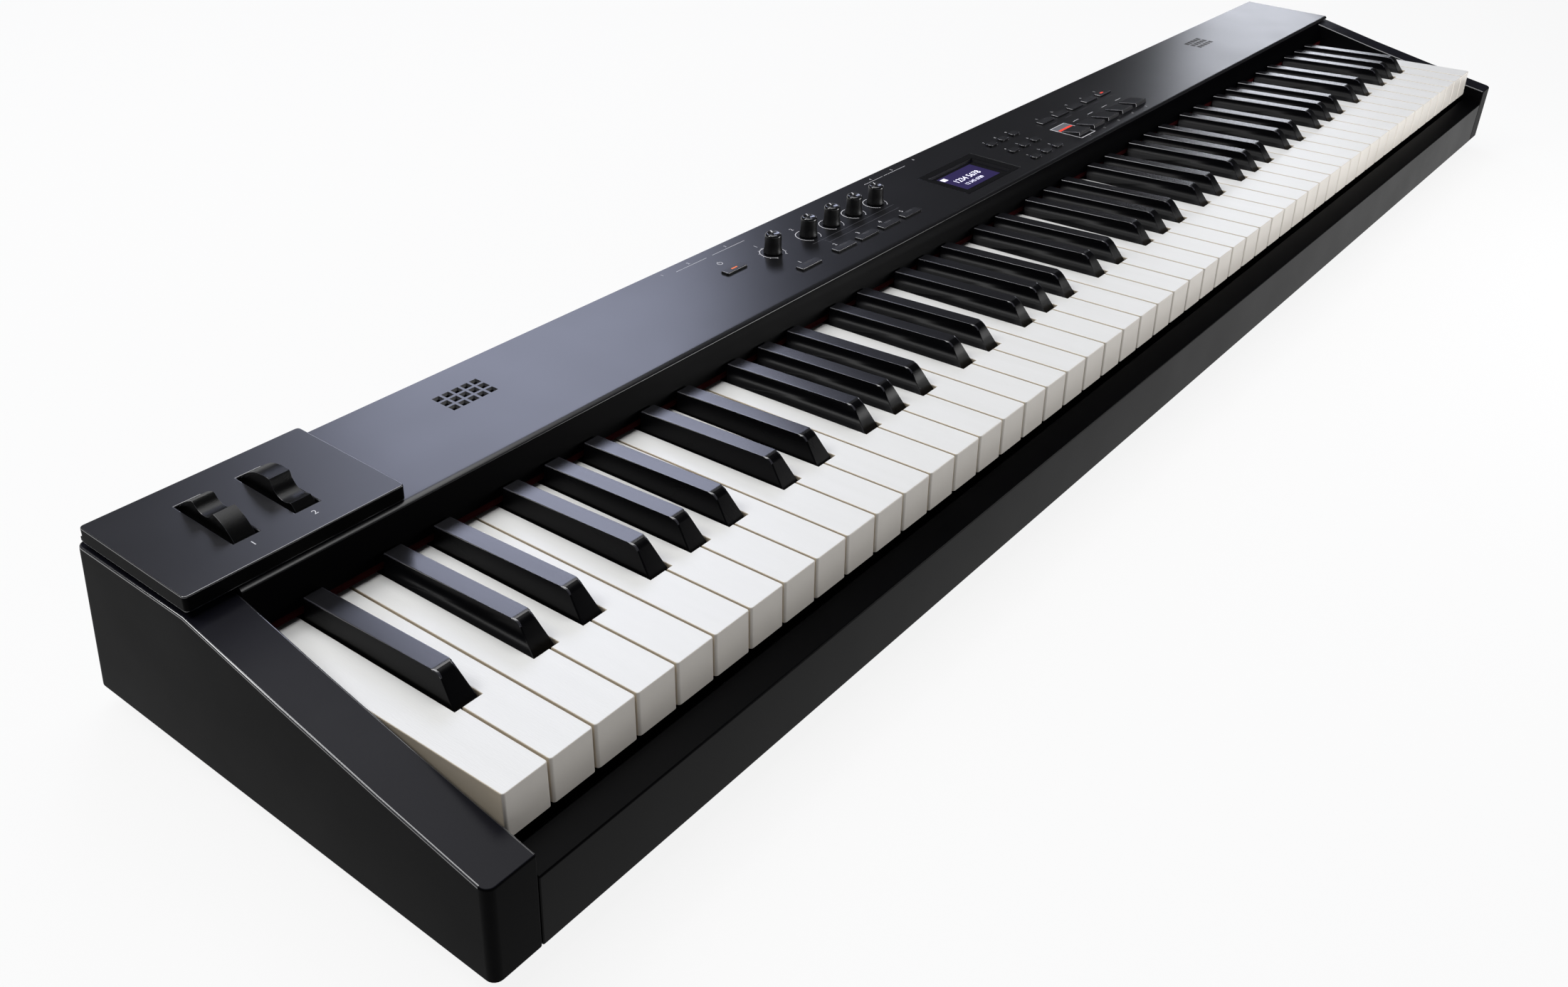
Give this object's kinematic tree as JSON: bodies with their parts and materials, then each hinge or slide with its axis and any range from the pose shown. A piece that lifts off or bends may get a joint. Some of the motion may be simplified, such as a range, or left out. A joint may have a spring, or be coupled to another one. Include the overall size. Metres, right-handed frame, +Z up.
{
  "type": "stage piano",
  "caption": "Low stage piano with a full keyboard of weighted keys between end blocks, pitch and modulation wheels, knobs, buttons, tone pads and a small display.",
  "frame": {"origin": "on the floor below the middle of the bounding box", "axes": "+X to the player's right along the keyboard, -Y towards the player, +Z up"},
  "size_m": [1.271, 0.257, 0.1122],
  "materials": {
    "case_metal": "black textured powder coat",
    "end_block_plastic": "satin charcoal with a fine grain",
    "rail_metal": "satin black",
    "panel_metal": "satin charcoal lacquer",
    "wheel_panel_plastic": "satin charcoal",
    "key_felt": "dark red wool felt",
    "frame_steel": "zinc plated sheet steel",
    "circuit_board": "green solder mask",
    "inner_plastic": "plain black moulding",
    "display_window": "clear window with a black border",
    "display_screen": "lit violet screen",
    "socket_plastic": "black socket bodies on a board",
    "speaker_plastic": "black speaker frame and cone",
    "foot_rubber": "moulded black rubber",
    "white_key_plastic": "off-white with a fine lengthwise grain",
    "black_key_plastic": "satin black, slightly grained",
    "wheel_plastic": "black with a stippled grip",
    "knob_plastic": "black with a bright top disc",
    "button_plastic": "satin black",
    "pad_plastic": "satin black wedge"
  },
  "bodies": {
    "case": {"bottom_case": "case_metal", "left_end_block": "end_block_plastic", "right_end_block": "end_block_plastic", "front_rail": "rail_metal", "rear_panel": "case_metal", "top_panel": "panel_metal", "wheel_panel": "wheel_panel_plastic", "key_felt": "key_felt", "key_frame": "frame_steel", "key_stop_felt": "key_felt", "key_contact_board": "circuit_board", "wheel_bracket": "inner_plastic", "display_window": "display_window", "display_screen": "display_screen", "main_board": "circuit_board", "socket_board": "socket_plastic", "left_speaker": "speaker_plastic", "right_speaker": "speaker_plastic", "front_left_foot": "foot_rubber", "front_right_foot": "foot_rubber", "rear_left_foot": "foot_rubber", "rear_right_foot": "foot_rubber"},
    "white_keys_octave_0": {"white_keys_octave_0": "white_key_plastic"},
    "black_keys_octave_0": {"black_keys_octave_0": "black_key_plastic"},
    "white_keys_octave_1": {"white_keys_octave_1": "white_key_plastic"},
    "black_keys_octave_1": {"black_keys_octave_1": "black_key_plastic"},
    "white_keys_octave_2": {"white_keys_octave_2": "white_key_plastic"},
    "black_keys_octave_2": {"black_keys_octave_2": "black_key_plastic"},
    "white_keys_octave_3": {"white_keys_octave_3": "white_key_plastic"},
    "black_keys_octave_3": {"black_keys_octave_3": "black_key_plastic"},
    "key_c4": {"key_c4": "white_key_plastic"},
    "key_c_sharp_4": {"key_c_sharp_4": "black_key_plastic"},
    "key_d4": {"key_d4": "white_key_plastic"},
    "key_d_sharp_4": {"key_d_sharp_4": "black_key_plastic"},
    "key_e4": {"key_e4": "white_key_plastic"},
    "key_f4": {"key_f4": "white_key_plastic"},
    "key_f_sharp_4": {"key_f_sharp_4": "black_key_plastic"},
    "key_g4": {"key_g4": "white_key_plastic"},
    "key_g_sharp_4": {"key_g_sharp_4": "black_key_plastic"},
    "key_a4": {"key_a4": "white_key_plastic"},
    "key_a_sharp_4": {"key_a_sharp_4": "black_key_plastic"},
    "key_b4": {"key_b4": "white_key_plastic"},
    "white_keys_octave_5": {"white_keys_octave_5": "white_key_plastic"},
    "black_keys_octave_5": {"black_keys_octave_5": "black_key_plastic"},
    "white_keys_octave_6": {"white_keys_octave_6": "white_key_plastic"},
    "black_keys_octave_6": {"black_keys_octave_6": "black_key_plastic"},
    "white_keys_octave_7": {"white_keys_octave_7": "white_key_plastic"},
    "black_keys_octave_7": {"black_keys_octave_7": "black_key_plastic"},
    "pitch_wheel": {"pitch_wheel": "wheel_plastic"},
    "modulation_wheel": {"modulation_wheel": "wheel_plastic"},
    "volume_knob": {"volume_knob": "knob_plastic"},
    "control_knob_1": {"control_knob_1": "knob_plastic"},
    "control_knob_2": {"control_knob_2": "knob_plastic"},
    "control_knob_3": {"control_knob_3": "knob_plastic"},
    "control_knob_4": {"control_knob_4": "knob_plastic"},
    "power_button": {"power_button": "button_plastic"},
    "function_button_strip": {"function_button_strip": "button_plastic"},
    "navigation_keypad": {"navigation_keypad": "button_plastic"},
    "menu_button_strip": {"menu_button_strip": "button_plastic"},
    "tone_pad_strip": {"tone_pad_strip": "pad_plastic"}
  },
  "joints": [
    {"name": "press_white_keys_octave_0", "type": "hinge", "parent": "case", "child": "white_keys_octave_0", "pos_m": [0, 0.0881, 0.04879], "axis": [1, 0, 0], "range_deg": [0, 2.87], "stiffness_Nm_per_rad": 3, "springref_deg": -5.73},
    {"name": "press_black_keys_octave_0", "type": "hinge", "parent": "case", "child": "black_keys_octave_0", "pos_m": [0, 0.10059, 0.06235], "axis": [1, 0, 0], "range_deg": [0, 2.7], "stiffness_Nm_per_rad": 1, "springref_deg": -5.73},
    {"name": "press_white_keys_octave_1", "type": "hinge", "parent": "case", "child": "white_keys_octave_1", "pos_m": [0, 0.0881, 0.04879], "axis": [1, 0, 0], "range_deg": [0, 2.87], "stiffness_Nm_per_rad": 10.5, "springref_deg": -5.73},
    {"name": "press_black_keys_octave_1", "type": "hinge", "parent": "case", "child": "black_keys_octave_1", "pos_m": [0, 0.10059, 0.06235], "axis": [1, 0, 0], "range_deg": [0, 2.7], "stiffness_Nm_per_rad": 5, "springref_deg": -5.73},
    {"name": "press_white_keys_octave_2", "type": "hinge", "parent": "case", "child": "white_keys_octave_2", "pos_m": [0, 0.0881, 0.04879], "axis": [1, 0, 0], "range_deg": [0, 2.87], "stiffness_Nm_per_rad": 10.5, "springref_deg": -5.73},
    {"name": "press_black_keys_octave_2", "type": "hinge", "parent": "case", "child": "black_keys_octave_2", "pos_m": [0, 0.10059, 0.06235], "axis": [1, 0, 0], "range_deg": [0, 2.7], "stiffness_Nm_per_rad": 5, "springref_deg": -5.73},
    {"name": "press_white_keys_octave_3", "type": "hinge", "parent": "case", "child": "white_keys_octave_3", "pos_m": [0, 0.0881, 0.04879], "axis": [1, 0, 0], "range_deg": [0, 2.87], "stiffness_Nm_per_rad": 10.5, "springref_deg": -5.73},
    {"name": "press_black_keys_octave_3", "type": "hinge", "parent": "case", "child": "black_keys_octave_3", "pos_m": [0, 0.10059, 0.06235], "axis": [1, 0, 0], "range_deg": [0, 2.7], "stiffness_Nm_per_rad": 5, "springref_deg": -5.73},
    {"name": "press_key_c4", "type": "hinge", "parent": "case", "child": "key_c4", "pos_m": [0, 0.0881, 0.04879], "axis": [1, 0, 0], "range_deg": [0, 2.87], "stiffness_Nm_per_rad": 1.5, "springref_deg": -5.73},
    {"name": "press_key_c_sharp_4", "type": "hinge", "parent": "case", "child": "key_c_sharp_4", "pos_m": [0, 0.10059, 0.06235], "axis": [1, 0, 0], "range_deg": [0, 2.7], "stiffness_Nm_per_rad": 1, "springref_deg": -5.73},
    {"name": "press_key_d4", "type": "hinge", "parent": "case", "child": "key_d4", "pos_m": [0, 0.0881, 0.04879], "axis": [1, 0, 0], "range_deg": [0, 2.87], "stiffness_Nm_per_rad": 1.5, "springref_deg": -5.73},
    {"name": "press_key_d_sharp_4", "type": "hinge", "parent": "case", "child": "key_d_sharp_4", "pos_m": [0, 0.10059, 0.06235], "axis": [1, 0, 0], "range_deg": [0, 2.7], "stiffness_Nm_per_rad": 1, "springref_deg": -5.73},
    {"name": "press_key_e4", "type": "hinge", "parent": "case", "child": "key_e4", "pos_m": [0, 0.0881, 0.04879], "axis": [1, 0, 0], "range_deg": [0, 2.87], "stiffness_Nm_per_rad": 1.5, "springref_deg": -5.73},
    {"name": "press_key_f4", "type": "hinge", "parent": "case", "child": "key_f4", "pos_m": [0, 0.0881, 0.04879], "axis": [1, 0, 0], "range_deg": [0, 2.87], "stiffness_Nm_per_rad": 1.5, "springref_deg": -5.73},
    {"name": "press_key_f_sharp_4", "type": "hinge", "parent": "case", "child": "key_f_sharp_4", "pos_m": [0, 0.10059, 0.06235], "axis": [1, 0, 0], "range_deg": [0, 2.7], "stiffness_Nm_per_rad": 1, "springref_deg": -5.73},
    {"name": "press_key_g4", "type": "hinge", "parent": "case", "child": "key_g4", "pos_m": [0, 0.0881, 0.04879], "axis": [1, 0, 0], "range_deg": [0, 2.87], "stiffness_Nm_per_rad": 1.5, "springref_deg": -5.73},
    {"name": "press_key_g_sharp_4", "type": "hinge", "parent": "case", "child": "key_g_sharp_4", "pos_m": [0, 0.10059, 0.06235], "axis": [1, 0, 0], "range_deg": [0, 2.7], "stiffness_Nm_per_rad": 1, "springref_deg": -5.73},
    {"name": "press_key_a4", "type": "hinge", "parent": "case", "child": "key_a4", "pos_m": [0, 0.0881, 0.04879], "axis": [1, 0, 0], "range_deg": [0, 2.87], "stiffness_Nm_per_rad": 1.5, "springref_deg": -5.73},
    {"name": "press_key_a_sharp_4", "type": "hinge", "parent": "case", "child": "key_a_sharp_4", "pos_m": [0, 0.10059, 0.06235], "axis": [1, 0, 0], "range_deg": [0, 2.7], "stiffness_Nm_per_rad": 1, "springref_deg": -5.73},
    {"name": "press_key_b4", "type": "hinge", "parent": "case", "child": "key_b4", "pos_m": [0, 0.0881, 0.04879], "axis": [1, 0, 0], "range_deg": [0, 2.87], "stiffness_Nm_per_rad": 1.5, "springref_deg": -5.73},
    {"name": "press_white_keys_octave_5", "type": "hinge", "parent": "case", "child": "white_keys_octave_5", "pos_m": [0, 0.0881, 0.04879], "axis": [1, 0, 0], "range_deg": [0, 2.87], "stiffness_Nm_per_rad": 10.5, "springref_deg": -5.73},
    {"name": "press_black_keys_octave_5", "type": "hinge", "parent": "case", "child": "black_keys_octave_5", "pos_m": [0, 0.10059, 0.06235], "axis": [1, 0, 0], "range_deg": [0, 2.7], "stiffness_Nm_per_rad": 5, "springref_deg": -5.73},
    {"name": "press_white_keys_octave_6", "type": "hinge", "parent": "case", "child": "white_keys_octave_6", "pos_m": [0, 0.0881, 0.04879], "axis": [1, 0, 0], "range_deg": [0, 2.87], "stiffness_Nm_per_rad": 10.5, "springref_deg": -5.73},
    {"name": "press_black_keys_octave_6", "type": "hinge", "parent": "case", "child": "black_keys_octave_6", "pos_m": [0, 0.10059, 0.06235], "axis": [1, 0, 0], "range_deg": [0, 2.7], "stiffness_Nm_per_rad": 5, "springref_deg": -5.73},
    {"name": "press_white_keys_octave_7", "type": "hinge", "parent": "case", "child": "white_keys_octave_7", "pos_m": [0, 0.0881, 0.04879], "axis": [1, 0, 0], "range_deg": [0, 2.87], "stiffness_Nm_per_rad": 12, "springref_deg": -5.73},
    {"name": "press_black_keys_octave_7", "type": "hinge", "parent": "case", "child": "black_keys_octave_7", "pos_m": [0, 0.10059, 0.06235], "axis": [1, 0, 0], "range_deg": [0, 2.7], "stiffness_Nm_per_rad": 5, "springref_deg": -5.73},
    {"name": "turn_pitch_wheel", "type": "hinge", "parent": "case", "child": "pitch_wheel", "pos_m": [-0.59475, 0.0758, 0.088], "axis": [-1, 0, 0], "range_deg": [-30, 30], "stiffness_Nm_per_rad": 0.05},
    {"name": "turn_modulation_wheel", "type": "hinge", "parent": "case", "child": "modulation_wheel", "pos_m": [-0.56475, 0.0758, 0.088], "axis": [-1, 0, 0], "range_deg": [0, 52]},
    {"name": "turn_volume_knob", "type": "hinge", "parent": "case", "child": "volume_knob", "pos_m": [-0.2034, 0.085, 0.095], "axis": [0, 0, -1], "range_deg": [-150, 150]},
    {"name": "turn_control_knob_1", "type": "hinge", "parent": "case", "child": "control_knob_1", "pos_m": [-0.167, 0.085, 0.095], "axis": [0, 0, -1], "range_deg": [-150, 150]},
    {"name": "turn_control_knob_2", "type": "hinge", "parent": "case", "child": "control_knob_2", "pos_m": [-0.1422, 0.085, 0.095], "axis": [0, 0, -1], "range_deg": [-150, 150]},
    {"name": "turn_control_knob_3", "type": "hinge", "parent": "case", "child": "control_knob_3", "pos_m": [-0.1174, 0.085, 0.095], "axis": [0, 0, -1], "range_deg": [-150, 150]},
    {"name": "turn_control_knob_4", "type": "hinge", "parent": "case", "child": "control_knob_4", "pos_m": [-0.0926, 0.085, 0.095], "axis": [0, 0, -1], "range_deg": [-150, 150]},
    {"name": "press_power_button", "type": "slide", "parent": "case", "child": "power_button", "axis": [0, 0, -1], "range_m": [0, 0.001], "stiffness_N_per_m": 300, "springref_m": -0.001},
    {"name": "press_function_button_strip", "type": "slide", "parent": "case", "child": "function_button_strip", "axis": [0, 0, -1], "range_m": [0, 0.001], "stiffness_N_per_m": 800, "springref_m": -0.001},
    {"name": "press_navigation_keypad", "type": "slide", "parent": "case", "child": "navigation_keypad", "axis": [0, 0, -1], "range_m": [0, 0.001], "stiffness_N_per_m": 800, "springref_m": -0.001},
    {"name": "press_menu_button_strip", "type": "slide", "parent": "case", "child": "menu_button_strip", "axis": [0, 0, -1], "range_m": [0, 0.001], "stiffness_N_per_m": 800, "springref_m": -0.001},
    {"name": "press_tone_pad_strip", "type": "slide", "parent": "case", "child": "tone_pad_strip", "axis": [0, 0, -1], "range_m": [0, 0.001], "stiffness_N_per_m": 1000, "springref_m": -0.001}
  ]
}
